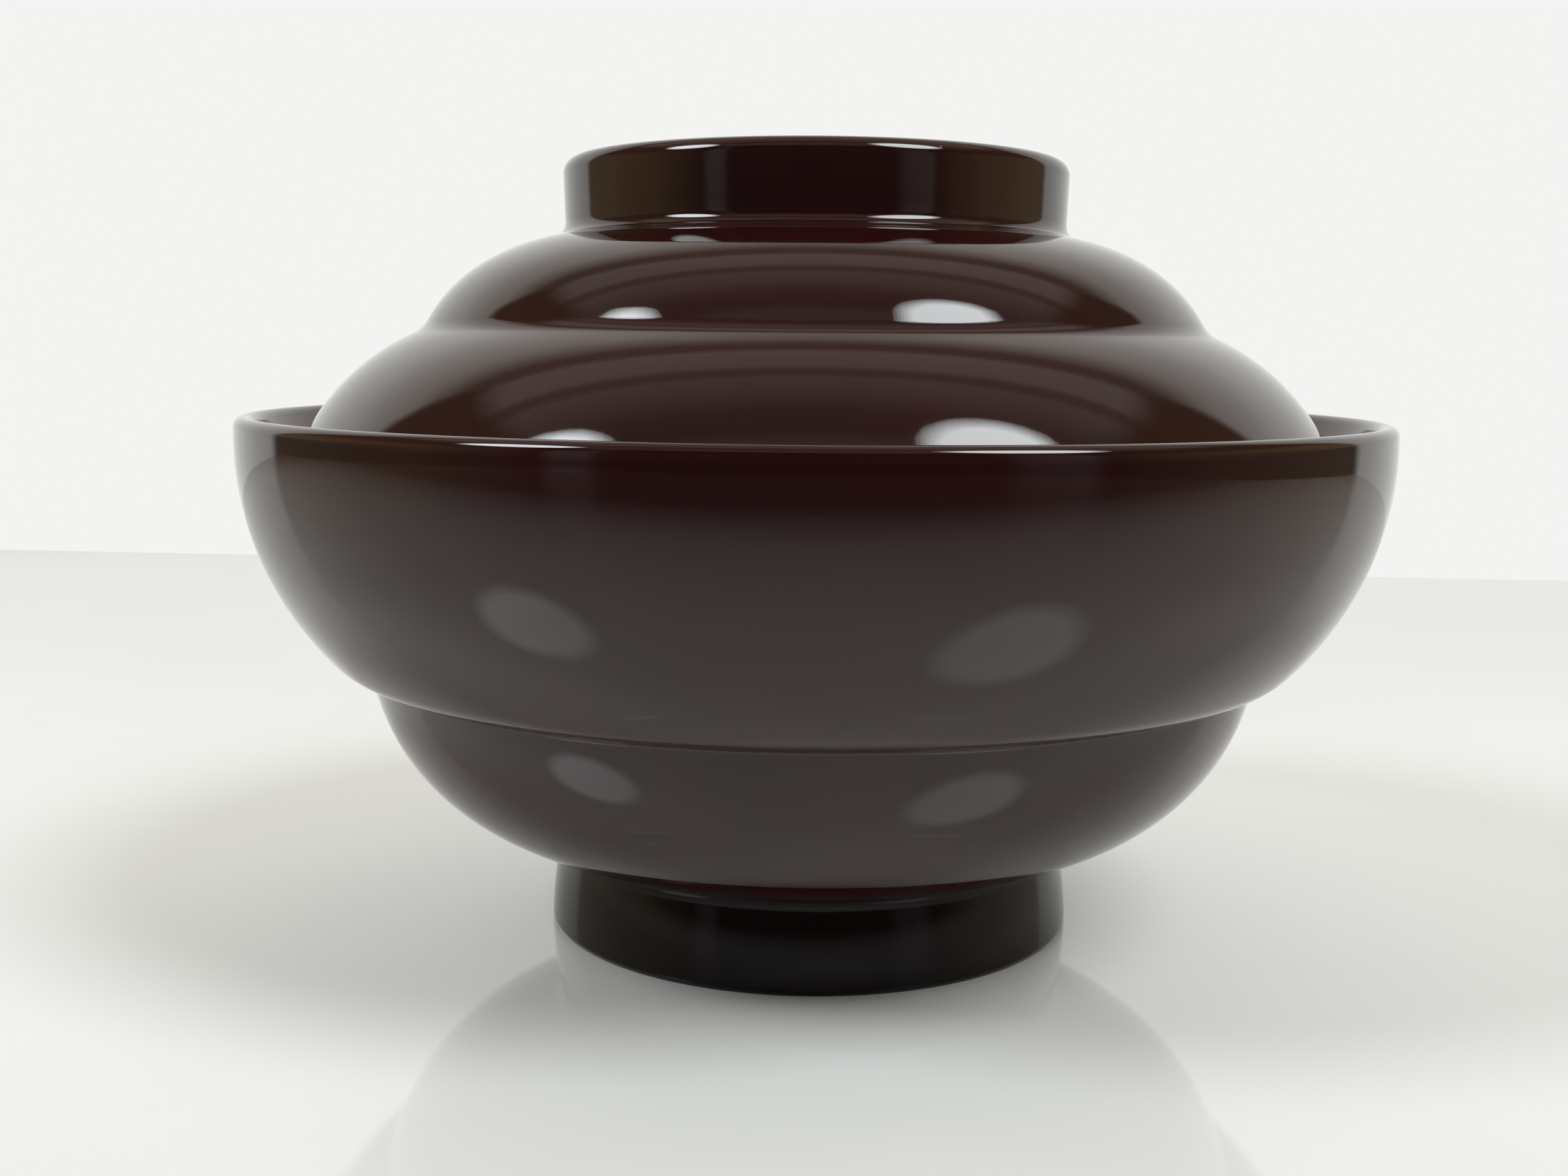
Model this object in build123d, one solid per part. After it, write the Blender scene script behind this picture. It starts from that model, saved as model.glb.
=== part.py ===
from build123d import *
import math
import os

# Lacquer soup bowl with a seated lid, in millimetres.
# The origin is the centre of the foot on the table, and +Z is the axis both pieces are turned about.
# Each piece is a turned wooden core under coats of lacquer: one outside, one inside, one in the
# hollow of its ring, and one on the flat edge that the piece stands on.

# Lacquer
coat_thickness = 0.4

# Bowl, outside
rim_radius = 65.0
bowl_height = 59.5
lip_thickness = 2.2
belly_radius = 34.8
belly_drop = 2.6
belly_sweep = 43.3
waist_round = 6.8
waist_turn = 86.0
waist_fillet = 0.6
lower_body_rise = 5.1

# Foot ring of the bowl
foot_top_radius = 29.3
foot_height = 10.7
foot_flare = 1.4
foot_side_rise = 0.3
foot_wall = 3.6
foot_edge_round = 0.8
foot_mouth_round = 0.8
foot_fillet = 1.8
foot_recess_depth = 7.5
foot_recess_round = 1.6

# Bowl, inside
waist_wall = 2.6
floor_thickness = 5.3

# Lid, seated in the bowl: heights are measured from the bowl's lip
seat_depth = 8.9
seat_clearance = 0.25
lid_edge_thickness = 2.4
lid_edge_lean = 10.0
lower_dome_rise = 2.77
lower_dome_fullest = 0.478
step_radius = 44.6
step_above_lip = 9.48
step_fillet = 3.4
upper_dome_rise = 2.45
upper_dome_fullest = 0.536
step_wall = 3.2
crown_thickness = 5.0

# Ring on top of the lid
ring_base_radius = 28.6
ring_base_above_lip = 20.1
ring_height = 8.6
ring_flare = 0.3
ring_wall = 3.4
ring_edge_round = 1.7
ring_mouth_round = 0.8
ring_fillet = 1.7
ring_recess_depth = 7.7
ring_recess_round = 1.6


def polar(centre, radius, degrees):
    """Point at a radius and an angle above the horizontal from a centre."""
    angle = math.radians(degrees)
    return (centre[0] + radius * math.cos(angle), centre[1] + radius * math.sin(angle))


def arc_about(centre, start, end):
    """Arc of less than half a turn from start to end about its centre."""
    middle = ((start[0] + end[0]) / 2 - centre[0], (start[1] + end[1]) / 2 - centre[1])
    degrees = math.degrees(math.atan2(middle[1], middle[0]))
    return ThreePointArc(start, polar(centre, math.dist(centre, start), degrees), end)


def crowned_arc(start, end, rise):
    """Arc from start down to end that stands out from its chord by the rise."""
    chord = math.dist(start, end)
    out = ((start[1] - end[1]) / chord, (end[0] - start[0]) / chord)
    middle = ((start[0] + end[0]) / 2 + rise * out[0], (start[1] + end[1]) / 2 + rise * out[1])
    return ThreePointArc(start, middle, end)


def dome_arcs(top, bottom, rise, fullest):
    """Two arcs down a dome that meet where it stands out most, at a share of its chord from the top."""
    chord = math.dist(top, bottom)
    out = ((top[1] - bottom[1]) / chord, (bottom[0] - top[0]) / chord)
    foot = (top[0] + fullest * (bottom[0] - top[0]), top[1] + fullest * (bottom[1] - top[1]))
    crest = (foot[0] + rise * out[0], foot[1] + rise * out[1])
    arcs = []
    for start, end in ((top, crest), (crest, bottom)):
        radius = math.dist(start, end) ** 2 / (2 * rise)
        centre = (crest[0] - radius * out[0], crest[1] - radius * out[1])
        arcs.append(arc_about(centre, start, end))
    return arcs


def axis_arc(height, corner, wall):
    """Centre and end of the arc that crosses the axis level at a height and ends a wall from a corner."""
    rise = corner[1] - height
    radius = (corner[0] ** 2 + rise ** 2 - wall ** 2) / (2 * (wall + abs(rise)))
    centre = (0.0, height + math.copysign(radius, rise))
    share = radius / (radius + wall)
    return centre, (corner[0] * share, centre[1] + (corner[1] - centre[1]) * share)


def side_arc(floor_centre, start, edge, edge_radius):
    """Centre and end of the arc that runs on smoothly from an arc's end into a rounded edge."""
    floor_radius = math.dist(floor_centre, start)
    inward = ((floor_centre[0] - start[0]) / floor_radius, (floor_centre[1] - start[1]) / floor_radius)
    away = (start[0] - edge[0], start[1] - edge[1])
    closing = edge_radius - inward[0] * away[0] - inward[1] * away[1]
    radius = (away[0] ** 2 + away[1] ** 2 - edge_radius ** 2) / (2 * closing)
    centre = (start[0] + radius * inward[0], start[1] + radius * inward[1])
    share = radius / (radius + edge_radius)
    end = (centre[0] + (edge[0] - centre[0]) * share, centre[1] + (edge[1] - centre[1]) * share)
    return centre, end


def rounded(section, corners):
    """Round the corners of a section, given as pairs of a corner point and a radius."""
    for point, radius in corners:
        section = fillet(section.vertices().sort_by_distance(Vector(*point))[0], radius)
    return section


def zone(left, right, low, high):
    """Rectangle of the section plane between two radii and two heights."""
    return Pos((left + right) / 2, (low + high) / 2) * Rectangle(right - left, high - low)


# Points that the bowl and the lid share
lip_radius = lip_thickness / 2
lip_height = bowl_height - lip_radius
belly_centre = (rim_radius - belly_radius, bowl_height - belly_drop)
lip_angle = math.degrees(math.asin((lip_height - belly_centre[1]) / (belly_radius - lip_radius)))
lip_centre = polar(belly_centre, belly_radius - lip_radius, lip_angle)
waist_centre = polar(belly_centre, belly_radius - waist_round, -belly_sweep)
waist = polar(waist_centre, waist_round, -waist_turn)

foot_radius = foot_top_radius + foot_flare
foot_recess_radius = foot_radius - foot_wall
floor_height = foot_recess_depth + floor_thickness
floor_centre, floor_end = axis_arc(floor_height, waist, waist_wall)
wall_centre, lip_inside = side_arc(floor_centre, floor_end, lip_centre, lip_radius)

edge_radius = lid_edge_thickness / 2
edge_height = bowl_height - seat_depth
seat_reach = math.dist(wall_centre, lip_inside) - edge_radius - seat_clearance
seat_drop = wall_centre[1] - edge_height
edge_centre = (wall_centre[0] + math.sqrt(seat_reach ** 2 - seat_drop ** 2), edge_height)

ring_base = (ring_base_radius, bowl_height + ring_base_above_lip)
ring_top = ring_base[1] + ring_height
ring_radius = ring_base_radius + ring_flare
ring_recess_radius = ring_radius - ring_wall
ring_recess_floor = ring_top - ring_recess_depth
crown_height = ring_recess_floor - crown_thickness


def bowl_section():
    """Half section of the finished bowl, from the middle of its floor round to the foot's hollow."""
    floor_middle = (0.0, floor_height)
    lip_top = polar(lip_centre, lip_radius, 90.0)
    lip_outside = polar(lip_centre, lip_radius, lip_angle)
    belly_end = polar(belly_centre, belly_radius, -belly_sweep)
    foot_top = (foot_top_radius, foot_height)
    foot_outside = (foot_radius, 0.0)
    foot_inside = (foot_recess_radius, 0.0)
    recess_corner = (foot_recess_radius, foot_recess_depth)
    recess_middle = (0.0, foot_recess_depth)
    outline = [
        arc_about(floor_centre, floor_middle, floor_end),
        arc_about(wall_centre, floor_end, lip_inside),
        ThreePointArc(lip_inside, lip_top, lip_outside),
        arc_about(belly_centre, lip_outside, belly_end),
        arc_about(waist_centre, belly_end, waist),
        crowned_arc(waist, foot_top, lower_body_rise),
        crowned_arc(foot_top, foot_outside, foot_side_rise),
        Polyline(foot_outside, foot_inside, recess_corner, recess_middle, floor_middle),
    ]
    corners = [
        (waist, waist_fillet),
        (foot_top, foot_fillet),
        (foot_outside, foot_edge_round),
        (foot_inside, foot_mouth_round),
        (recess_corner, foot_recess_round),
    ]
    return rounded(make_face(Curve() + outline), corners)


def lid_section():
    """Half section of the finished lid, from the middle of its ring's hollow round to its ceiling."""
    recess_middle = (0.0, ring_recess_floor)
    recess_corner = (ring_recess_radius, ring_recess_floor)
    ring_inside = (ring_recess_radius, ring_top)
    ring_outside = (ring_radius, ring_top)
    step = (step_radius, bowl_height + step_above_lip)
    edge_outside = polar(edge_centre, edge_radius, lid_edge_lean)
    edge_bottom = polar(edge_centre, edge_radius, lid_edge_lean - 90.0)
    ceiling_centre, ceiling_end = axis_arc(crown_height, step, step_wall)
    side_centre, edge_inside = side_arc(ceiling_centre, ceiling_end, edge_centre, edge_radius)
    ceiling_middle = (0.0, crown_height)
    outline = [
        Polyline(ceiling_middle, recess_middle, recess_corner, ring_inside, ring_outside, ring_base),
        *dome_arcs(ring_base, step, upper_dome_rise, upper_dome_fullest),
        *dome_arcs(step, edge_outside, lower_dome_rise, lower_dome_fullest),
        ThreePointArc(edge_outside, edge_bottom, edge_inside),
        arc_about(side_centre, edge_inside, ceiling_end),
        arc_about(ceiling_centre, ceiling_end, ceiling_middle),
    ]
    corners = [
        (recess_corner, ring_recess_round),
        (ring_inside, ring_mouth_round),
        (ring_outside, ring_edge_round),
        (ring_base, ring_fillet),
        (step, step_fillet),
    ]
    return rounded(make_face(Curve() + outline), corners)


def core_section(section):
    """Half section of the wood under the coats of a finished half section."""
    whole = section + mirror(section, about=Plane.YZ)
    box = section.bounding_box()
    return offset(whole, -coat_thickness) & zone(0.0, box.max.X, box.min.Y, box.max.Y)


def coat_sections(coat, stand_edge, turned_edge, inside, recess, outside):
    """Part a coat into its four areas.

    stand_edge is the zone of the flat edge that the piece stands on, and turned_edge the zone of the
    rim where the outer coat turns over to meet the inner one. The last three are points on the areas.
    """
    areas = (coat - stand_edge - turned_edge).faces()
    return {
        "outer": areas.sort_by_distance(Vector(*outside))[0] + (coat & turned_edge),
        "inner": areas.sort_by_distance(Vector(*inside))[0],
        "recess": areas.sort_by_distance(Vector(*recess))[0],
        "edge": coat & stand_edge,
    }


def turned(section):
    """Solid turned about the axis from a half section."""
    return revolve(Plane.XZ * section, Axis.Z)


def bowl_parts():
    """The bowl's core and its four coats."""
    section = bowl_section()
    core = core_section(section)
    coats = coat_sections(
        section - core,
        zone(foot_recess_radius + foot_mouth_round, foot_radius - foot_edge_round, 0.0, coat_thickness),
        zone(0.0, rim_radius, lip_height, bowl_height),
        inside=(0.0, floor_height),
        recess=(0.0, foot_recess_depth),
        outside=(foot_top_radius, foot_height),
    )
    return {
        "bowl_core": turned(core),
        "bowl_outer_lacquer": turned(coats["outer"]),
        "bowl_inner_lacquer": turned(coats["inner"]),
        "bowl_foot_recess_lacquer": turned(coats["recess"]),
        "bowl_foot_edge_lacquer": turned(coats["edge"]),
    }


def lid_parts():
    """The lid's core and its four coats."""
    section = lid_section()
    core = core_section(section)
    coats = coat_sections(
        section - core,
        zone(ring_recess_radius + ring_mouth_round, ring_radius - ring_edge_round,
             ring_top - coat_thickness, ring_top),
        zone(0.0, rim_radius, edge_height - lid_edge_thickness, edge_height),
        inside=(0.0, crown_height),
        recess=(0.0, ring_recess_floor),
        outside=ring_base,
    )
    return {
        "lid_core": turned(core),
        "lid_outer_lacquer": turned(coats["outer"]),
        "lid_inner_lacquer": turned(coats["inner"]),
        "lid_ring_recess_lacquer": turned(coats["recess"]),
        "lid_ring_edge_lacquer": turned(coats["edge"]),
    }


def write_parts(parts):
    """Write each part to its own file."""
    os.makedirs("parts", exist_ok=True)
    for name, part in parts.items():
        part.label = name
        export_step(part, f"parts/{name}.step")


write_parts(bowl_parts())
write_parts(lid_parts())
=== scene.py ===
"""Lacquer soup bowl with its lid on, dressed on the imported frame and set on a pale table."""
import logging
import math
from collections.abc import Sequence
from dataclasses import dataclass, replace
from enum import Enum

import bpy
from mathutils import Matrix, Vector


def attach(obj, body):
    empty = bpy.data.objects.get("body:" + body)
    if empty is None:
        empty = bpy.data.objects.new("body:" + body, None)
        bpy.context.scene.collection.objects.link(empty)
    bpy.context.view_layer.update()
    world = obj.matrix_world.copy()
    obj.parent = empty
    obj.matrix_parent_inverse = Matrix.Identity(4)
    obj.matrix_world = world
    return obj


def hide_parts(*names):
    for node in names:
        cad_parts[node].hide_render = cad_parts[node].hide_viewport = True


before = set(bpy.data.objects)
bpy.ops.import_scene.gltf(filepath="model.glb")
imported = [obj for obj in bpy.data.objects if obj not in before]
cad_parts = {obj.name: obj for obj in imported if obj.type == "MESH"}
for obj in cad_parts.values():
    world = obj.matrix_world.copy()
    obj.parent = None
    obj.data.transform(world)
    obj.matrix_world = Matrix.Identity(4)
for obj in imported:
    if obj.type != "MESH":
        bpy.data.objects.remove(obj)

Point = tuple[float, float]
Colour = tuple[float, float, float]
Stops = list[tuple[float, Colour]]
LOG = logging.getLogger("soup_bowl")
MM = 0.001
HALVINGS = 50
CLOUD_START = 0.3
CLOUD_END = 0.7


class Coat(Enum):
    """The four coats of lacquer on a turned piece."""

    OUTER = "outer"
    INNER = "inner"
    RECESS = "recess"
    EDGE = "edge"


class Slot(Enum):
    """The material slots of the record."""

    WOOD = "turned_wood"
    OUTER = "outer_lacquer"
    INNER = "inner_lacquer"
    EDGE = "edge_lacquer"


COAT_SLOTS = {
    Coat.OUTER: Slot.OUTER,
    Coat.INNER: Slot.INNER,
    Coat.RECESS: Slot.OUTER,
    Coat.EDGE: Slot.EDGE,
}


def polar(centre: Point, radius: float, degrees: float) -> Point:
    """Find the point at a radius and an angle above the horizontal.

    Args:
        centre: Point that the radius is measured from.
        radius: Distance from the centre.
        degrees: Angle above the horizontal.

    Returns:
        The point.
    """
    angle = math.radians(degrees)
    return centre[0] + radius * math.cos(angle), centre[1] + radius * math.sin(angle)


def toward(start: Point, end: Point, share: float) -> Point:
    """Find the point a share of the way from start to end.

    Args:
        start: Point at share 0.
        end: Point at share 1.
        share: How far to go.

    Returns:
        The point.
    """
    return start[0] + (end[0] - start[0]) * share, start[1] + (end[1] - start[1]) * share


@dataclass(frozen=True)
class Stretch:
    """A straight run of a section, or a round one if it has a centre.

    A section is traced with the material on its right, so its surface faces left.
    """

    start: Point
    end: Point
    centre: Point | None = None

    @property
    def radius(self) -> float:
        """Radius of a round stretch."""
        return math.dist(self.centre, self.start)

    @property
    def sweep(self) -> float:
        """Signed turn of a round stretch in radians, less than half a turn."""
        turn = self.bearing(self.end) - self.bearing(self.start)
        return (turn + math.pi) % math.tau - math.pi

    def bearing(self, point: Point) -> float:
        """Find a point's angle about the centre of a round stretch.

        Args:
            point: The point.

        Returns:
            The angle in radians.
        """
        return math.atan2(point[1] - self.centre[1], point[0] - self.centre[0])

    def at(self, share: float) -> Point:
        """Find a point on the stretch.

        Args:
            share: How far along the stretch, from 0 to 1.

        Returns:
            The point.
        """
        if self.centre is None:
            return toward(self.start, self.end, share)
        turned = self.bearing(self.start) + self.sweep * share
        return polar(self.centre, self.radius, math.degrees(turned))

    def left(self, share: float) -> Point:
        """Find the direction that the surface faces.

        Args:
            share: How far along the stretch, from 0 to 1.

        Returns:
            A unit direction, to the left of the way along the stretch.
        """
        if self.centre is None:
            length = math.dist(self.start, self.end)
            return (self.start[1] - self.end[1]) / length, (self.end[0] - self.start[0]) / length
        point = self.at(share)
        turn = -math.copysign(1.0, self.sweep) / self.radius
        return (point[0] - self.centre[0]) * turn, (point[1] - self.centre[1]) * turn

    def touch(self, point: Point) -> Point:
        """Find the nearest point on the stretch's whole line or circle.

        Args:
            point: Point to come from.

        Returns:
            The nearest point.
        """
        if self.centre is not None:
            return toward(self.centre, point, self.radius / math.dist(self.centre, point))
        facing = self.left(0.0)
        gap = (point[0] - self.start[0]) * facing[0] + (point[1] - self.start[1]) * facing[1]
        return point[0] - gap * facing[0], point[1] - gap * facing[1]

    def steps(self, longest: float, widest: float) -> int:
        """Count the steps that keep the stretch smooth.

        Args:
            longest: Longest step along it.
            widest: Widest turn of a step in radians.

        Returns:
            The number of steps.
        """
        if self.centre is None:
            return max(1, math.ceil(math.dist(self.start, self.end) / longest))
        turn = abs(self.sweep)
        return max(2, math.ceil(turn / widest), math.ceil(turn * self.radius / longest))


def crowned(start: Point, end: Point, rise: float) -> Stretch:
    """Make the arc that stands out from its chord by a rise.

    Args:
        start: First end.
        end: Last end.
        rise: Height of the arc over the middle of its chord.

    Returns:
        The round stretch.
    """
    chord = math.dist(start, end)
    depth = (chord * chord / 4 - rise * rise) / (2 * rise)
    out = (start[1] - end[1]) / chord, (end[0] - start[0]) / chord
    middle = toward(start, end, 0.5)
    return Stretch(start, end, (middle[0] - depth * out[0], middle[1] - depth * out[1]))


def dome(top: Point, bottom: Point, rise: float, fullest: float) -> list[Stretch]:
    """Make the two arcs down a dome that meet where it stands out most from its chord.

    Args:
        top: First end.
        bottom: Last end.
        rise: Height of the dome over its chord.
        fullest: Share of the chord from the top where the arcs meet.

    Returns:
        The two round stretches.
    """
    chord = math.dist(top, bottom)
    out = (top[1] - bottom[1]) / chord, (bottom[0] - top[0]) / chord
    foot = toward(top, bottom, fullest)
    crest = foot[0] + rise * out[0], foot[1] + rise * out[1]
    arcs = []
    for start, end in ((top, crest), (crest, bottom)):
        radius = math.dist(start, end) ** 2 / (2 * rise)
        arcs.append(Stretch(start, end, (crest[0] - radius * out[0], crest[1] - radius * out[1])))
    return arcs


def axis_arc(height: float, corner: Point, wall: float) -> tuple[Point, Point]:
    """Find the arc that crosses the axis level and ends a wall away from a corner outside.

    Args:
        height: Height on the axis.
        corner: Corner of the outer surface.
        wall: Wall at that corner.

    Returns:
        The arc's centre and its end near the corner.
    """
    rise = corner[1] - height
    radius = (corner[0] ** 2 + rise ** 2 - wall ** 2) / (2 * (wall + abs(rise)))
    centre = (0.0, height + math.copysign(radius, rise))
    return centre, toward(centre, corner, radius / (radius + wall))


def side_arc(floor_centre: Point, start: Point, edge: Point, edge_radius: float) -> tuple[Point, Point]:
    """Find the arc that runs on smoothly from a floor arc into a rounded edge.

    Args:
        floor_centre: Centre of the floor arc.
        start: End of the floor arc.
        edge: Centre of the rounded edge.
        edge_radius: Radius of the rounded edge.

    Returns:
        The arc's centre and its end on the edge.
    """
    span = math.dist(floor_centre, start)
    inward = (floor_centre[0] - start[0]) / span, (floor_centre[1] - start[1]) / span
    away = start[0] - edge[0], start[1] - edge[1]
    closing = edge_radius - inward[0] * away[0] - inward[1] * away[1]
    radius = (away[0] ** 2 + away[1] ** 2 - edge_radius ** 2) / (2 * closing)
    centre = start[0] + radius * inward[0], start[1] + radius * inward[1]
    return centre, toward(centre, edge, radius / (radius + edge_radius))


def rounded(first: Stretch, second: Stretch, radius: float) -> tuple[Stretch, Stretch, Stretch]:
    """Round the corner between two stretches with a ball that rolls back along the first.

    Args:
        first: Stretch that ends at the corner.
        second: Stretch that starts there.
        radius: Radius of the rounding.

    Returns:
        The first stretch cut short, the rounding, and the second stretch cut short.
    """
    before, after = first.left(1.0), second.left(0.0)
    side = math.copysign(radius, before[0] * after[1] - before[1] * after[0])
    low, high = 0.0, 1.0
    for _ in range(HALVINGS):
        share = (low + high) / 2
        point, facing = first.at(share), first.left(share)
        ball = point[0] + side * facing[0], point[1] + side * facing[1]
        if math.dist(ball, second.touch(ball)) > radius:
            low = share
        else:
            high = share
    leave, meet = first.at(low), second.touch(ball)
    return (Stretch(first.start, leave, first.centre), Stretch(leave, meet, ball),
            Stretch(meet, second.end, second.centre))


def round_corners(path: list[Stretch], radii: dict[int, float]) -> list[Stretch]:
    """Round some corners of a path.

    Args:
        path: Stretches in order.
        radii: Radius for each corner to round, keyed by the stretch that ends there.

    Returns:
        The stretches with the roundings between them.
    """
    done = [path[0]]
    for index, stretch in enumerate(path[1:]):
        if index in radii:
            done[-1], ball, stretch = rounded(done[-1], stretch, radii[index])
            done.append(ball)
        done.append(stretch)
    return done


@dataclass(frozen=True)
class Turning:
    """How finely a section is turned into a mesh."""

    segments: int = 256
    longest_step: float = 1.0 * MM
    widest_step: float = math.radians(4.0)
    sharp_edge: float = math.radians(50.0)
    on_axis: float = 1e-7

    def outline(self, path: list[Stretch]) -> tuple[list[Point], list[Point]]:
        """Walk along a path.

        Args:
            path: Stretches in order.

        Returns:
            The points on the path, and the direction that the surface faces at each.
        """
        points, facings = [path[0].start], [path[0].left(0.0)]
        for stretch in path:
            count = stretch.steps(self.longest_step, self.widest_step)
            points += [stretch.at(step / count) for step in range(1, count + 1)]
            facings += [stretch.left(step / count) for step in range(1, count + 1)]
        return points, facings

    def coat(self, name: str, path: list[Stretch], thickness: float) -> bpy.types.Object:
        """Turn a coat of even thickness about the axis, closed on all sides.

        Args:
            name: Name of the new object.
            path: Stretches of the coat's outer surface.
            thickness: Thickness of the coat.

        Returns:
            The new object.
        """
        points, facings = self.outline(path)
        under = [(p[0] - thickness * f[0], p[1] - thickness * f[1]) for p, f in zip(points, facings)]
        section = points + under[::-1]
        rings, vertices = [], []
        for radius, height in section:
            if abs(radius) < self.on_axis:
                rings.append([len(vertices)])
                vertices.append((0.0, 0.0, height))
                continue
            rings.append(range(len(vertices), len(vertices) + self.segments))
            for segment in range(self.segments):
                angle = math.tau * segment / self.segments
                vertices.append((radius * math.cos(angle), radius * math.sin(angle), height))
        faces = []
        for near, far in zip(rings, rings[1:] + rings[:1]):
            faces += self.band(near, far)
        mesh = bpy.data.meshes.new(name)
        mesh.from_pydata(vertices, [], faces)
        mesh.shade_smooth()
        mesh.set_sharp_from_angle(angle=self.sharp_edge)
        piece = bpy.data.objects.new(name, mesh)
        bpy.context.collection.objects.link(piece)
        return piece

    def band(self, near: Sequence[int], far: Sequence[int]) -> list[tuple[int, ...]]:
        """Join two rings of vertices with faces that face left of the way from near to far.

        Args:
            near: Vertices of the first ring, or its one vertex on the axis.
            far: Vertices of the second ring, or its one vertex on the axis.

        Returns:
            The faces.
        """
        count = self.segments
        if len(near) == 1 and len(far) == 1:
            return []
        if len(near) == 1:
            return [(near[0], far[i], far[(i + 1) % count]) for i in range(count)]
        if len(far) == 1:
            return [(near[i], far[0], near[(i + 1) % count]) for i in range(count)]
        return [(near[i], far[i], far[(i + 1) % count], near[(i + 1) % count]) for i in range(count)]


@dataclass
class Bowl:
    """The bowl: a turned body on a foot ring under four coats of lacquer."""

    coat_thickness: float = 0.4 * MM
    rim_radius: float = 65.0 * MM
    height: float = 59.5 * MM
    lip_thickness: float = 2.2 * MM
    belly_radius: float = 34.8 * MM
    belly_drop: float = 2.6 * MM
    belly_sweep: float = 43.3
    waist_round: float = 6.8 * MM
    waist_turn: float = 86.0
    waist_fillet: float = 0.6 * MM
    lower_body_rise: float = 5.1 * MM
    foot_top_radius: float = 29.3 * MM
    foot_height: float = 10.7 * MM
    foot_flare: float = 1.4 * MM
    foot_side_rise: float = 0.3 * MM
    foot_wall: float = 3.6 * MM
    foot_edge_round: float = 0.8 * MM
    foot_mouth_round: float = 0.8 * MM
    foot_fillet: float = 1.8 * MM
    foot_recess_depth: float = 7.5 * MM
    foot_recess_round: float = 1.6 * MM
    waist_wall: float = 2.6 * MM
    floor_thickness: float = 5.3 * MM
    body: str = "bowl"
    stands_on: str = "foot"

    def __post_init__(self) -> None:
        """Work out the points that the lid needs too."""
        self.lip_radius = self.lip_thickness / 2
        self.belly_centre = self.rim_radius - self.belly_radius, self.height - self.belly_drop
        reach = self.belly_radius - self.lip_radius
        self.lip_angle = math.degrees(math.asin((self.belly_drop - self.lip_radius) / reach))
        self.lip_centre = polar(self.belly_centre, reach, self.lip_angle)
        self.waist_centre = polar(self.belly_centre, self.belly_radius - self.waist_round, -self.belly_sweep)
        self.waist = polar(self.waist_centre, self.waist_round, -self.waist_turn)
        self.floor_height = self.foot_recess_depth + self.floor_thickness
        self.floor_centre, self.floor_end = axis_arc(self.floor_height, self.waist, self.waist_wall)
        self.wall_centre, self.lip_inside = side_arc(
            self.floor_centre, self.floor_end, self.lip_centre, self.lip_radius)

    def coats(self) -> dict[Coat, list[Stretch]]:
        """Draw the section and part it into coats.

        Returns:
            The stretches of each coat's outer surface.
        """
        foot_radius = self.foot_top_radius + self.foot_flare
        hollow_radius = foot_radius - self.foot_wall
        lip_outside = polar(self.lip_centre, self.lip_radius, self.lip_angle)
        belly_end = polar(self.belly_centre, self.belly_radius, -self.belly_sweep)
        foot_top = self.foot_top_radius, self.foot_height
        foot_outside, foot_inside = (foot_radius, 0.0), (hollow_radius, 0.0)
        hollow_corner = hollow_radius, self.foot_recess_depth
        path = [
            Stretch((0.0, self.floor_height), self.floor_end, self.floor_centre),
            Stretch(self.floor_end, self.lip_inside, self.wall_centre),
            Stretch(self.lip_inside, lip_outside, self.lip_centre),
            Stretch(lip_outside, belly_end, self.belly_centre),
            Stretch(belly_end, self.waist, self.waist_centre),
            crowned(self.waist, foot_top, self.lower_body_rise),
            crowned(foot_top, foot_outside, self.foot_side_rise),
            Stretch(foot_outside, foot_inside),
            Stretch(foot_inside, hollow_corner),
            Stretch(hollow_corner, (0.0, self.foot_recess_depth)),
        ]
        radii = {4: self.waist_fillet, 5: self.foot_fillet, 6: self.foot_edge_round,
                 7: self.foot_mouth_round, 8: self.foot_recess_round}
        path = round_corners(path, radii)
        lip, edge = 2, 10
        return {
            Coat.INNER: path[:lip],
            Coat.OUTER: path[lip:edge],
            Coat.EDGE: path[edge:edge + 1],
            Coat.RECESS: path[edge + 1:],
        }


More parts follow.
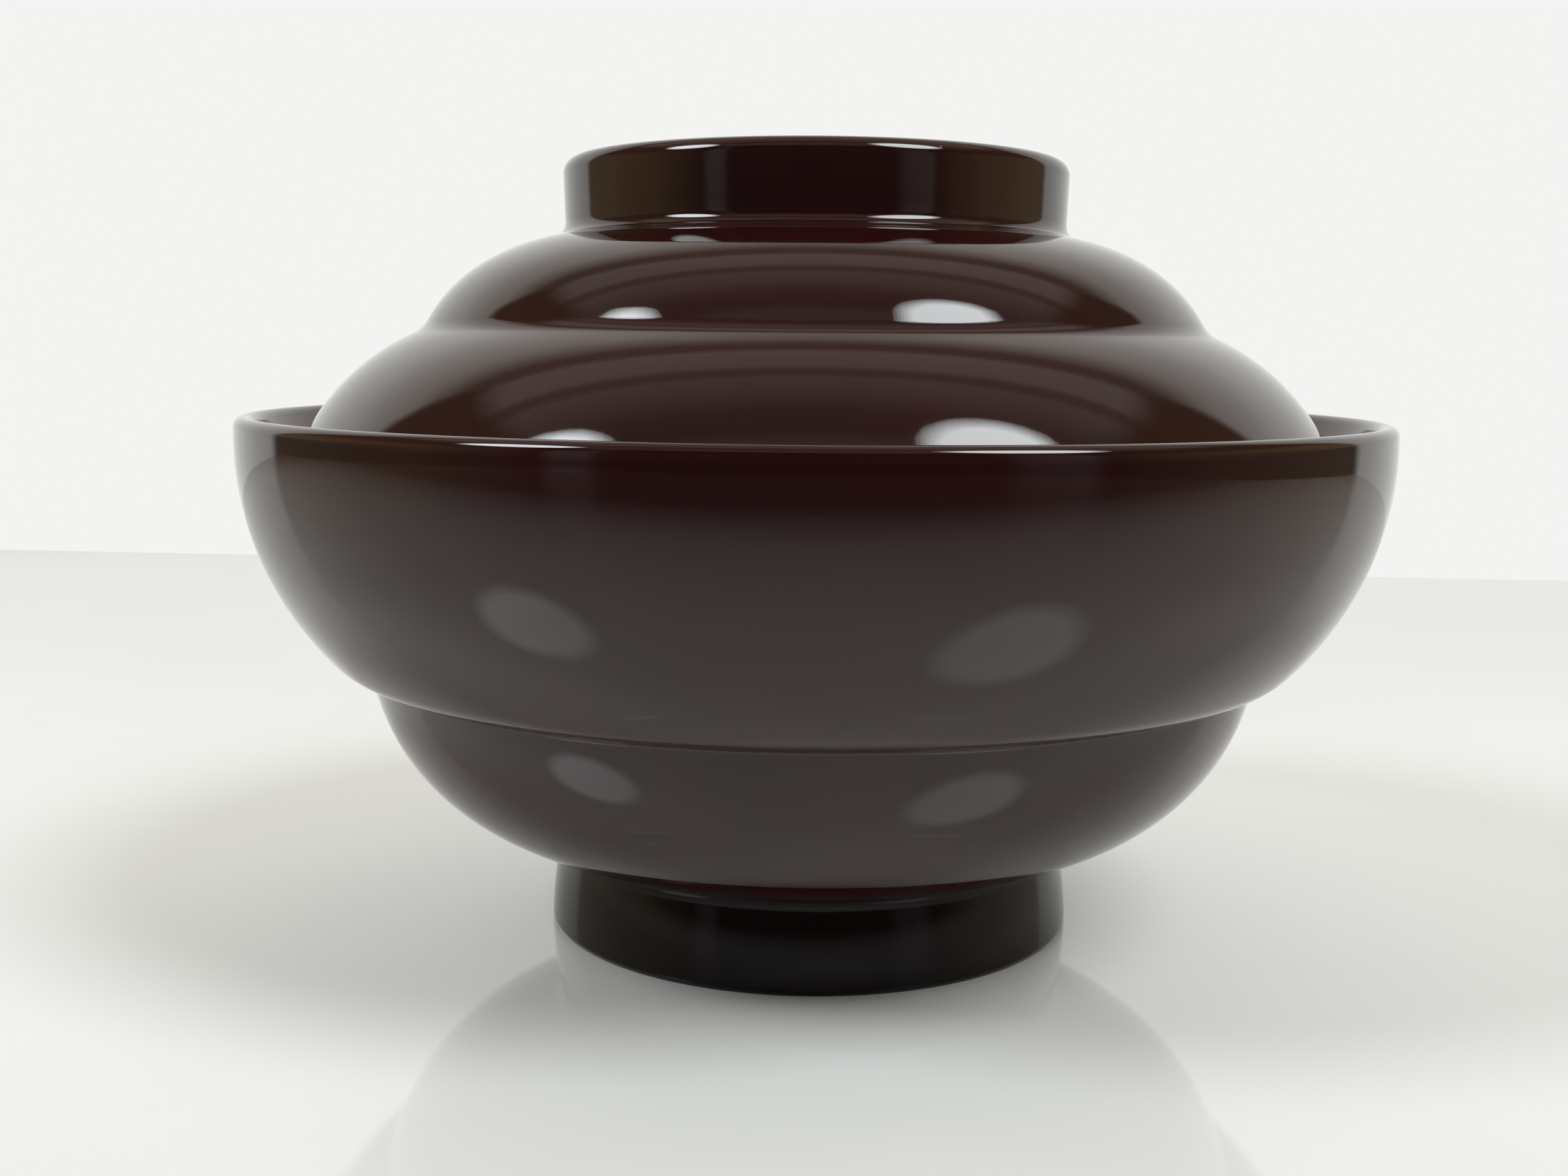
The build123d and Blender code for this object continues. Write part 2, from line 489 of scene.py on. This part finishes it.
@dataclass
class Lid:
    """The lid, seated in the bowl: a stepped dome with a ring grip under four coats of lacquer."""

    bowl: Bowl
    coat_thickness: float = 0.4 * MM
    seat_depth: float = 8.9 * MM
    seat_clearance: float = 0.25 * MM
    edge_thickness: float = 2.4 * MM
    edge_lean: float = 10.0
    lower_dome_rise: float = 2.77 * MM
    lower_dome_fullest: float = 0.478
    step_radius: float = 44.6 * MM
    step_above_lip: float = 9.48 * MM
    step_fillet: float = 3.4 * MM
    step_wall: float = 3.2 * MM
    upper_dome_rise: float = 2.45 * MM
    upper_dome_fullest: float = 0.536
    crown_thickness: float = 5.0 * MM
    ring_base_radius: float = 28.6 * MM
    ring_base_above_lip: float = 20.1 * MM
    ring_height: float = 8.6 * MM
    ring_flare: float = 0.3 * MM
    ring_wall: float = 3.4 * MM
    ring_edge_round: float = 1.7 * MM
    ring_mouth_round: float = 0.8 * MM
    ring_fillet: float = 1.7 * MM
    ring_recess_depth: float = 7.7 * MM
    ring_recess_round: float = 1.6 * MM
    body: str = "lid"
    stands_on: str = "ring"

    def coats(self) -> dict[Coat, list[Stretch]]:
        """Draw the section and part it into coats.

        Returns:
            The stretches of each coat's outer surface.
        """
        lip = self.bowl.height
        edge_radius = self.edge_thickness / 2
        seat_height = lip - self.seat_depth
        wall_centre = self.bowl.wall_centre
        reach = math.dist(wall_centre, self.bowl.lip_inside) - edge_radius - self.seat_clearance
        drop = wall_centre[1] - seat_height
        edge_centre = wall_centre[0] + math.sqrt(reach ** 2 - drop ** 2), seat_height
        ring_base = self.ring_base_radius, lip + self.ring_base_above_lip
        ring_top = ring_base[1] + self.ring_height
        ring_radius = self.ring_base_radius + self.ring_flare
        hollow_radius = ring_radius - self.ring_wall
        hollow_floor = ring_top - self.ring_recess_depth
        crown = hollow_floor - self.crown_thickness
        step = self.step_radius, lip + self.step_above_lip
        edge_outside = polar(edge_centre, edge_radius, self.edge_lean)
        ceiling_centre, ceiling_end = axis_arc(crown, step, self.step_wall)
        side_centre, edge_inside = side_arc(ceiling_centre, ceiling_end, edge_centre, edge_radius)
        hollow_corner = hollow_radius, hollow_floor
        ring_inside, ring_outside = (hollow_radius, ring_top), (ring_radius, ring_top)
        path = [
            Stretch((0.0, hollow_floor), hollow_corner),
            Stretch(hollow_corner, ring_inside),
            Stretch(ring_inside, ring_outside),
            Stretch(ring_outside, ring_base),
            *dome(ring_base, step, self.upper_dome_rise, self.upper_dome_fullest),
            *dome(step, edge_outside, self.lower_dome_rise, self.lower_dome_fullest),
            Stretch(edge_outside, edge_inside, edge_centre),
            Stretch(edge_inside, ceiling_end, side_centre),
            Stretch(ceiling_end, (0.0, crown), ceiling_centre),
        ]
        radii = {0: self.ring_recess_round, 1: self.ring_mouth_round, 2: self.ring_edge_round,
                 3: self.ring_fillet, 5: self.step_fillet}
        path = round_corners(path, radii)
        edge, under = 4, 14
        return {
            Coat.RECESS: path[:edge],
            Coat.EDGE: path[edge:edge + 1],
            Coat.OUTER: path[edge + 1:under],
            Coat.INNER: path[under:],
        }


class Shader:
    """A node tree that is laid down from its inputs to its output."""

    def __init__(self, tree: bpy.types.NodeTree) -> None:
        """Start on an empty tree."""
        self.tree = tree
        tree.nodes.clear()

    def add(self, kind: str, settings: dict | None = None, **sockets: object) -> bpy.types.Node:
        """Add a node.

        Args:
            kind: Blender's name of the node type.
            settings: Properties of the node.
            **sockets: Values or outputs for its inputs, by name with _ for a space.

        Returns:
            The new node.
        """
        node = self.tree.nodes.new(kind)
        for name, value in (settings or {}).items():
            setattr(node, name, value)
        for name, value in sockets.items():
            self.feed(node.inputs[name.replace("_", " ")], value)
        return node

    def feed(self, socket: bpy.types.NodeSocket, value: object) -> None:
        """Set an input, or link it if the value is an output.

        Args:
            socket: The input.
            value: A constant or an output of another node.
        """
        if isinstance(value, bpy.types.NodeSocket):
            self.tree.links.new(value, socket)
        else:
            socket.default_value = value

    def math(self, operation: str, first: object, second: object = 0.0,
             third: object = 0.0) -> bpy.types.NodeSocket:
        """Add a Math node.

        Args:
            operation: Blender's name of the operation.
            first: First value or output.
            second: Second value or output.
            third: Third value or output.

        Returns:
            The result.
        """
        node = self.add("ShaderNodeMath", {"operation": operation})
        for socket, value in zip(node.inputs, (first, second, third)):
            self.feed(socket, value)
        return node.outputs[0]

    def vector(self, operation: str, first: object, second: object) -> bpy.types.NodeSocket:
        """Add a Vector Math node that works on two vectors.

        Args:
            operation: Blender's name of the operation.
            first: First vector or output.
            second: Second vector or output.

        Returns:
            The resulting vector.
        """
        node = self.add("ShaderNodeVectorMath", {"operation": operation})
        self.feed(node.inputs[0], first)
        self.feed(node.inputs[1], second)
        return node.outputs["Vector"]

    def scaled(self, vector: bpy.types.NodeSocket, scale: bpy.types.NodeSocket) -> bpy.types.NodeSocket:
        """Scale a vector or a colour.

        Args:
            vector: Output to scale.
            scale: Output to scale it by.

        Returns:
            The scaled vector.
        """
        node = self.add("ShaderNodeVectorMath", {"operation": "SCALE"}, Scale=scale)
        self.feed(node.inputs[0], vector)
        return node.outputs["Vector"]

    def length(self, vector: bpy.types.NodeSocket) -> bpy.types.NodeSocket:
        """Measure a vector.

        Args:
            vector: Output to measure.

        Returns:
            Its length.
        """
        node = self.add("ShaderNodeVectorMath", {"operation": "LENGTH"})
        self.feed(node.inputs[0], vector)
        return node.outputs["Value"]

    def ramp(self, factor: bpy.types.NodeSocket, stops: Stops) -> bpy.types.NodeSocket:
        """Add a colour ramp.

        Args:
            factor: Output that runs along the ramp.
            stops: Place and colour of each stop.

        Returns:
            The ramp's colour.
        """
        node = self.add("ShaderNodeValToRGB", Fac=factor)
        elements = node.color_ramp.elements
        while len(elements) < len(stops):
            elements.new(0.5)
        for element, (place, colour) in zip(elements, stops):
            element.position = place
            element.color = (*colour, 1.0)
        return node.outputs["Color"]

    def mix(self, factor: bpy.types.NodeSocket, first: object, second: object) -> bpy.types.NodeSocket:
        """Mix two colours.

        Args:
            factor: Share of the second colour.
            first: First colour or output.
            second: Second colour or output.

        Returns:
            The mixed colour.
        """
        node = self.add("ShaderNodeMix", {"data_type": "RGBA"})
        self.feed(node.inputs[0], factor)
        self.feed(node.inputs[6], first)
        self.feed(node.inputs[7], second)
        return node.outputs[2]

    def spread(self, factor: bpy.types.NodeSocket, low: float, high: float) -> bpy.types.NodeSocket:
        """Spread an output from 0 to 1 over a range.

        Args:
            factor: Output to spread.
            low: Value at 0.
            high: Value at 1.

        Returns:
            The new value.
        """
        node = self.add("ShaderNodeMapRange", Value=factor, To_Min=low, To_Max=high)
        return node.outputs["Result"]

    def ease(self, value: bpy.types.NodeSocket, start: float, end: float, low: float = 0.0,
             high: float = 1.0) -> bpy.types.NodeSocket:
        """Ease from one level to another while an output runs from start to end.

        Args:
            value: Output that runs.
            start: Where the low level ends.
            end: Where the high level begins.
            low: Level up to the start.
            high: Level from the end on.

        Returns:
            The level.
        """
        node = self.add("ShaderNodeMapRange", {"interpolation_type": "SMOOTHSTEP"}, Value=value,
                        From_Min=start, From_Max=end, To_Min=low, To_Max=high)
        return node.outputs["Result"]


@dataclass(frozen=True)
class Lacquer:
    """Polished lacquer with a faint orange peel, cloudy depth and a little dust."""

    slot: Slot
    deep: Colour
    warm: Colour
    smooth: float
    dull: float
    shine: float = 0.5
    refraction: float = 1.52
    cloud_scale: float = 55.0
    cloud_detail: float = 4.0
    haze_scale: float = 165.0
    haze_detail: float = 6.0
    peel_scale: float = 420.0
    peel_detail: float = 2.0
    peel_depth: float = 0.004 * MM
    dust_scale: float = 320.0
    dust_size: float = 0.04
    dust_free: float = 0.985
    dust_colour: Colour = (0.16, 0.15, 0.14)
    name: str = ""

    def material(self) -> bpy.types.Material:
        """Make the material.

        Returns:
            The new material.
        """
        made = bpy.data.materials.new(self.name or self.slot.value)
        made.use_nodes = True
        shader = Shader(made.node_tree)
        place = shader.add("ShaderNodeTexCoord").outputs["Object"]
        cloud = shader.add("ShaderNodeTexNoise", Vector=place, Scale=self.cloud_scale,
                           Detail=self.cloud_detail)
        haze = shader.add("ShaderNodeTexNoise", Vector=place, Scale=self.haze_scale, Detail=self.haze_detail)
        peel = shader.add("ShaderNodeTexNoise", Vector=place, Scale=self.peel_scale, Detail=self.peel_detail)
        grains = shader.add("ShaderNodeTexVoronoi", Vector=place, Scale=self.dust_scale)
        lot = shader.add("ShaderNodeSeparateColor", Color=grains.outputs["Color"])
        near = shader.math("LESS_THAN", grains.outputs["Distance"], self.dust_size)
        rare = shader.math("GREATER_THAN", lot.outputs["Red"], self.dust_free)
        tone = shader.ramp(cloud.outputs["Fac"], [(CLOUD_START, self.deep), (CLOUD_END, self.warm)])
        dusty = shader.mix(shader.math("MULTIPLY", near, rare), tone, (*self.dust_colour, 1.0))
        rough = shader.spread(haze.outputs["Fac"], self.smooth, self.dull)
        bump = shader.add("ShaderNodeBump", Height=peel.outputs["Fac"], Strength=1.0,
                          Distance=self.peel_depth)
        body = shader.add("ShaderNodeBsdfPrincipled", Base_Color=dusty, Roughness=rough, IOR=self.refraction,
                          Specular_IOR_Level=self.shine, Normal=bump.outputs["Normal"])
        shader.add("ShaderNodeOutputMaterial", Surface=body.outputs["BSDF"])
        return made


@dataclass(frozen=True)
class TurnedWood:
    """Fine-grained wood with growth rings about a pith that lies level across the piece."""

    slot: Slot = Slot.WOOD
    pale: Colour = (0.47, 0.31, 0.18)
    dark: Colour = (0.30, 0.17, 0.09)
    ring_scale: float = 45.0
    ring_wander: float = 3.0
    ring_detail: float = 3.0
    ring_pale_end: float = 0.1
    ring_dark_start: float = 0.9
    pore_scale: float = 900.0
    pore_detail: float = 3.0
    pore_strength: float = 0.4
    pore_depth: float = 0.02 * MM
    smooth: float = 0.5
    dull: float = 0.75

    def material(self) -> bpy.types.Material:
        """Make the material.

        Returns:
            The new material.
        """
        made = bpy.data.materials.new(self.slot.value)
        made.use_nodes = True
        shader = Shader(made.node_tree)
        place = shader.add("ShaderNodeTexCoord").outputs["Object"]
        rings = shader.add("ShaderNodeTexWave", {"wave_type": "RINGS", "rings_direction": "X"}, Vector=place,
                           Scale=self.ring_scale, Distortion=self.ring_wander, Detail=self.ring_detail)
        pores = shader.add("ShaderNodeTexNoise", Vector=place, Scale=self.pore_scale, Detail=self.pore_detail)
        tone = shader.ramp(rings.outputs["Color"],
                           [(self.ring_pale_end, self.pale), (self.ring_dark_start, self.dark)])
        rough = shader.spread(pores.outputs["Fac"], self.smooth, self.dull)
        bump = shader.add("ShaderNodeBump", Height=pores.outputs["Fac"], Strength=self.pore_strength,
                          Distance=self.pore_depth)
        body = shader.add("ShaderNodeBsdfPrincipled", Base_Color=tone, Roughness=rough,
                          Normal=bump.outputs["Normal"])
        shader.add("ShaderNodeOutputMaterial", Surface=body.outputs["BSDF"])
        return made


@dataclass(frozen=True)
class TableBoard:
    """Glossy white board of the table, a little cloudy, with painted shade that greys it away from the bowl.
    """

    pale: Colour = (0.895, 0.905, 0.88)
    paler: Colour = (0.935, 0.945, 0.92)
    cloud_scale: float = 14.0
    cloud_detail: float = 3.0
    roughness: float = 0.05
    refraction: float = 1.5
    # Painted shade: a pool of light round this centre, the board greyer beyond it, as a shadow falls at the
    # front and sides.
    pool_centre: tuple[float, float, float] = (0.0, 120.0 * MM, 0.0)
    pool_shape: tuple[float, float, float] = (0.45, 1.0, 1.0)
    pool_edge: float = 200.0 * MM
    pool_end: float = 430.0 * MM
    far_painted_shade: float = 0.10
    # Painted light: the board is paler near the bowl and greyer further out.
    near_start: float = 70.0 * MM
    near_end: float = 140.0 * MM
    near_painted_shade: float = 0.87
    # Painted shade: the board greys towards the back.
    back_start: float = 40.0 * MM
    back_end: float = 330.0 * MM
    back_painted_shade: float = 0.81

    def material(self) -> bpy.types.Material:
        """Make the material.

        Returns:
            The new material.
        """
        made = bpy.data.materials.new("table_board")
        made.use_nodes = True
        shader = Shader(made.node_tree)
        place = shader.add("ShaderNodeTexCoord").outputs["Object"]
        axes = shader.add("ShaderNodeSeparateXYZ", Vector=place)
        cloud = shader.add("ShaderNodeTexNoise", Vector=place, Scale=self.cloud_scale,
                           Detail=self.cloud_detail)
        tone = shader.ramp(cloud.outputs["Fac"], [(CLOUD_START, self.pale), (CLOUD_END, self.paler)])
        # Painted shade and light: the board's tone is scaled by the three fades above.
        moved = shader.vector("SUBTRACT", place, self.pool_centre)
        away = shader.length(shader.vector("MULTIPLY", moved, self.pool_shape))
        painted_pool = shader.ease(away, self.pool_edge, self.pool_end, 1.0, self.far_painted_shade)
        back = shader.ease(axes.outputs["Y"], self.back_start, self.back_end, 1.0, self.back_painted_shade)
        near = shader.ease(shader.length(place), self.near_start, self.near_end, 1.0, self.near_painted_shade)
        level = shader.math("MULTIPLY", shader.math("MULTIPLY", painted_pool, back), near)
        body = shader.add("ShaderNodeBsdfPrincipled", Base_Color=shader.scaled(tone, level),
                          Roughness=self.roughness, IOR=self.refraction)
        shader.add("ShaderNodeOutputMaterial", Surface=body.outputs["BSDF"])
        return made


@dataclass(frozen=True)
class Lamp:
    """A round soft light at an azimuth to the right of the camera's side and an elevation, in degrees."""

    name: str
    azimuth: float
    elevation: float
    width: float
    height: float
    radiance: float
    distance: float = 4000.0 * MM
    aim: float = 45.0 * MM
    tint: Colour = (0.93, 0.98, 1.0)

    def light(self) -> bpy.types.Object:
        """Hang the light.

        Returns:
            The new light, facing the bowl.
        """
        around, up = math.radians(self.azimuth), math.radians(self.elevation)
        away = Vector((math.sin(around) * math.cos(up), -math.cos(around) * math.cos(up), math.sin(up)))
        data = bpy.data.lights.new(self.name, "AREA")
        data.shape = "ELLIPSE"
        data.color = self.tint
        data.size = 2 * self.distance * math.tan(math.radians(self.width / 2))
        data.size_y = 2 * self.distance * math.tan(math.radians(self.height / 2))
        area = math.pi / 4 * data.size * data.size_y
        data.energy = self.radiance * math.pi * area
        lamp = bpy.data.objects.new(self.name, data)
        facing = away.to_track_quat("Z", "Y").to_matrix().to_4x4()
        lamp.matrix_world = Matrix.Translation(away * self.distance + Vector((0.0, 0.0, self.aim))) @ facing
        bpy.context.collection.objects.link(lamp)
        return lamp


# The room overhead, from the backdrop at 0 over the zenith at one half to the front at 1.
CEILING: Stops = [
    (0.0, (0.95, 0.96, 0.925)), (0.16, (1.05, 1.055, 1.01)), (0.27, (0.90, 0.84, 0.78)),
    (0.30, (0.58, 0.52, 0.46)), (0.325, (0.24, 0.20, 0.17)), (0.345, (0.26, 0.21, 0.17)),
    (0.36, (0.60, 0.52, 0.46)), (0.415, (0.66, 0.54, 0.47)), (0.43, (0.36, 0.27, 0.22)),
    (0.445, (0.36, 0.27, 0.22)), (0.46, (0.54, 0.45, 0.40)), (0.50, (0.48, 0.39, 0.36)),
    (0.56, (0.26, 0.21, 0.18)), (0.61, (0.20, 0.17, 0.15)), (0.64, (0.36, 0.33, 0.30)),
    (0.70, (0.34, 0.31, 0.28)), (0.76, (0.12, 0.12, 0.11)), (0.85, (0.14, 0.13, 0.12)),
    (1.0, (0.07, 0.07, 0.07)),
]

# The walls, from behind over the left, the front at one half and the right to behind again.
WALLS: Stops = [
    (0.16, (0.30, 0.24, 0.15)), (0.22, (0.42, 0.31, 0.18)), (0.29, (0.40, 0.29, 0.16)),
    (0.34, (0.20, 0.15, 0.10)), (0.36, (0.10, 0.08, 0.06)), (0.37, (0.34, 0.32, 0.30)),
    (0.385, (0.34, 0.32, 0.30)), (0.395, (0.07, 0.06, 0.06)), (0.50, (0.05, 0.05, 0.05)),
    (0.595, (0.06, 0.055, 0.05)), (0.61, (0.26, 0.24, 0.23)), (0.64, (0.34, 0.32, 0.30)),
    (0.65, (0.10, 0.08, 0.06)), (0.67, (0.22, 0.16, 0.10)), (0.72, (0.40, 0.29, 0.16)),
    (0.79, (0.42, 0.31, 0.18)), (0.84, (0.30, 0.24, 0.15)),
]


@dataclass
class Studio:
    """Table, surround, lights and camera."""

    table_left: float = -850.0 * MM
    table_right: float = 600.0 * MM
    table_front: float = -900.0 * MM
    table_back: float = 335.0 * MM
    back_slant: float = -0.075
    table_thickness: float = 18.0 * MM
    camera_distance: float = 208.2 * MM
    camera_height: float = 67.5 * MM
    camera_nearest: float = 10.0 * MM
    pitch_down: float = 7.81
    yaw_left: float = 0.90
    roll: float = 0.5
    focal_pixels: float = 2500.0
    image_width: float = 2212.0
    sensor: float = 36.0
    backdrop: Colour = (0.90, 0.90, 0.891)
    backdrop_side: float = 123.5
    wall_side: float = 119.5
    wall_top: float = 0.66
    ceiling_edge: float = 0.76
    wall_base_tint: Colour = (0.40, 0.50, 0.60)
    wall_base_slope: float = 25.0
    wall_base_level: float = 0.25
    wall_dim_start: float = 0.25
    wall_dim_end: float = 0.50
    wall_dim: float = 0.45
    umbrella_discs: int = 6
    umbrella_fade: float = 0.16
    disc_spacing: float = 20.0 * MM

    def table(self) -> bpy.types.Object:
        """Build the table top, with its surface at the foot of the bowl.

        Returns:
            The table.
        """
        left, right, front, back = self.table_left, self.table_right, self.table_front, self.table_back
        low = -self.table_thickness
        back_left, back_right = back + self.back_slant * left, back + self.back_slant * right
        top = [(left, front, 0.0), (right, front, 0.0), (right, back_right, 0.0), (left, back_left, 0.0)]
        vertices = top + [(p[0], p[1], low) for p in top]
        faces = [(0, 1, 2, 3), (7, 6, 5, 4)]
        faces += [(i, i + 4, (i + 1) % 4 + 4, (i + 1) % 4) for i in range(4)]
        mesh = bpy.data.meshes.new("table")
        mesh.from_pydata(vertices, [], faces)
        mesh.materials.append(TableBoard().material())
        table = bpy.data.objects.new("table", mesh)
        bpy.context.collection.objects.link(table)
        return table

    def walls(self, shader: Shader, around: bpy.types.NodeSocket, rise: bpy.types.NodeSocket,
              height: bpy.types.NodeSocket) -> bpy.types.NodeSocket:
        """Shade the walls, bluer and darker at their base and dimmer high up.

        Args:
            shader: Node tree of the surround.
            around: Angle from the front in radians, to the right.
            rise: How far a direction points up.
            height: How far a direction points up or down.

        Returns:
            The colour of the walls.
        """
        share = shader.math("MULTIPLY_ADD", around, 1.0 / math.tau, 0.5)
        raised = shader.math("MULTIPLY_ADD", rise, self.wall_base_slope, self.wall_base_level)
        base = shader.ramp(raised, [(0.0, self.wall_base_tint), (1.0, (1.0, 1.0, 1.0))])
        shaded = shader.vector("MULTIPLY", shader.ramp(share, WALLS), base)
        dimmed = shader.ease(height, self.wall_dim_start, self.wall_dim_end, 1.0, self.wall_dim)
        return shader.scaled(shaded, dimmed)

    def surround(self) -> None:
        """Light the room: a white backdrop behind, a warm ceiling and sides, and a dark front."""
        world = bpy.data.worlds.new("surround")
        world.use_nodes = True
        bpy.context.scene.world = world
        shader = Shader(world.node_tree)
        look = shader.add("ShaderNodeTexCoord").outputs["Generated"]
        axes = shader.add("ShaderNodeSeparateXYZ", Vector=look)
        height = shader.math("ABSOLUTE", axes.outputs["Z"])
        over = shader.math("ARCTAN2", height, axes.outputs["Y"])
        ceiling = shader.ramp(shader.math("DIVIDE", over, math.pi), CEILING)
        forward = shader.math("MULTIPLY", axes.outputs["Y"], -1.0)
        around = shader.math("ARCTAN2", axes.outputs["X"], forward)
        walls = self.walls(shader, around, axes.outputs["Z"], height)
        aside = shader.math("ABSOLUTE", around)
        outside = shader.ease(aside, math.radians(self.backdrop_side), math.radians(self.wall_side))
        low = shader.ease(height, self.ceiling_edge, self.wall_top)
        room = shader.mix(shader.math("MULTIPLY", outside, low), ceiling, walls)
        path = shader.add("ShaderNodeLightPath")
        seen = shader.add("ShaderNodeBackground", Color=(*self.backdrop, 1.0))
        lit = shader.add("ShaderNodeBackground", Color=room)
        whole = shader.add("ShaderNodeMixShader", Fac=path.outputs["Is Camera Ray"])
        shader.feed(whole.inputs[1], lit.outputs[0])
        shader.feed(whole.inputs[2], seen.outputs[0])
        shader.add("ShaderNodeOutputWorld", Surface=whole.outputs[0])

    def lamps(self) -> list[Lamp]:
        """List the lights.

        Returns:
            Two white umbrellas, each in thin discs, one over another, so that it fades toward its edge.
        """
        umbrellas = [
            Lamp("umbrella_left", azimuth=-69.0, elevation=44.0, width=18.0, height=20.0, radiance=14.5),
            Lamp("umbrella_right", azimuth=54.5, elevation=52.5, width=21.5, height=26.0, radiance=12.5),
        ]
        discs = []
        for whole in umbrellas:
            for disc in range(self.umbrella_discs):
                share = 1.0 + self.umbrella_fade * (2 * disc / (self.umbrella_discs - 1) - 1.0)
                discs.append(replace(whole, width=whole.width * share, height=whole.height * share,
                                     radiance=whole.radiance / self.umbrella_discs,
                                     distance=whole.distance + self.disc_spacing * disc))
        return discs

    def camera(self) -> bpy.types.Object:
        """Set up the camera where the photograph was taken from.

        Returns:
            The camera.
        """
        data = bpy.data.cameras.new("camera")
        data.sensor_width = self.sensor
        data.lens = self.sensor * self.focal_pixels / self.image_width
        data.clip_start = self.camera_nearest
        camera = bpy.data.objects.new("camera", data)
        camera.matrix_world = (
            Matrix.Translation((0.0, -self.camera_distance, self.camera_height))
            @ Matrix.Rotation(math.radians(self.yaw_left), 4, "Z")
            @ Matrix.Rotation(math.radians(90.0 - self.pitch_down), 4, "X")
            @ Matrix.Rotation(math.radians(self.roll), 4, "Z"))
        bpy.context.collection.objects.link(camera)
        bpy.context.scene.camera = camera
        return camera

    def build(self) -> None:
        """Build the whole studio."""
        self.table()
        self.surround()
        for lamp in self.lamps():
            lamp.light()
        self.camera()
        bpy.context.scene.view_settings.view_transform = "Standard"


def finishes() -> dict[Slot, bpy.types.Material]:
    """Make the material of each slot.

    Returns:
        The materials by slot.
    """
    made = [
        Lacquer(Slot.OUTER, deep=(0.0190, 0.0036, 0.0033), warm=(0.0255, 0.0046, 0.0041),
                smooth=0.03, dull=0.06),
        Lacquer(Slot.INNER, deep=(0.0600, 0.0120, 0.0100), warm=(0.0800, 0.0160, 0.0130),
                smooth=0.05, dull=0.09),
        Lacquer(Slot.EDGE, deep=(0.0150, 0.0060, 0.0055), warm=(0.0240, 0.0105, 0.0095),
                smooth=0.16, dull=0.34),
        TurnedWood(),
    ]
    return {finish.slot: finish.material() for finish in made}


def paint_foot_shade(coat: bpy.types.Object, top: float) -> None:
    """Darken the foot under a coat's body with painted shade: a darker lacquer of weaker shine, for the dark
    room that it reflects.

    Args:
        coat: The bowl's outer coat.
        top: Height of the crease where the foot meets the body.
    """
    # Painted shade: a darker colour and weaker shine stand in for the foot's dark reflection.
    foot_shade = Lacquer(Slot.OUTER, deep=(0.0070, 0.0036, 0.0034), warm=(0.0100, 0.0046, 0.0042),
                   smooth=0.06, dull=0.14, shine=0.22, name="foot_painted_shade_lacquer")
    coat.data.materials.append(foot_shade.material())
    for face in coat.data.polygons:
        face.material_index = int(face.center.z < top)


def dress(piece: Bowl | Lid, materials: dict[Slot, bpy.types.Material], turning: Turning) -> None:
    """Build a piece's coats over its wooden core and give each its finish.

    Args:
        piece: The bowl or the lid.
        materials: Material of each slot.
        turning: How finely the sections are turned.
    """
    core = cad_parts[f"{piece.body}_core"]
    core.data.materials.clear()
    core.data.materials.append(materials[Slot.WOOD])
    LOG.info("%s dressed in %s", core.name, Slot.WOOD.value)
    names = {
        Coat.OUTER: f"{piece.body}_outer_lacquer",
        Coat.INNER: f"{piece.body}_inner_lacquer",
        Coat.RECESS: f"{piece.body}_{piece.stands_on}_recess_lacquer",
        Coat.EDGE: f"{piece.body}_{piece.stands_on}_edge_lacquer",
    }
    for coat, path in piece.coats().items():
        slot = COAT_SLOTS[coat]
        made = turning.coat(f"{piece.body}_{coat.value}_coat", path, piece.coat_thickness)
        made.data.materials.append(materials[slot])
        # Painted shade on the bowl's foot, below the crease.
        if coat is Coat.OUTER and isinstance(piece, Bowl):
            paint_foot_shade(made, piece.foot_height)
        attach(made, piece.body)
        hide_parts(names[coat])
        LOG.info("%s stands for %s", made.name, names[coat])


def main() -> None:
    """Dress the bowl and its lid and build the studio."""
    logging.basicConfig(level=logging.INFO, format="%(name)s: %(message)s")
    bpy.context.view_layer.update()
    materials = finishes()
    turning = Turning()
    bowl = Bowl()
    for piece in (bowl, Lid(bowl)):
        dress(piece, materials, turning)
    Studio().build()


if __name__ == "__main__":
    main()
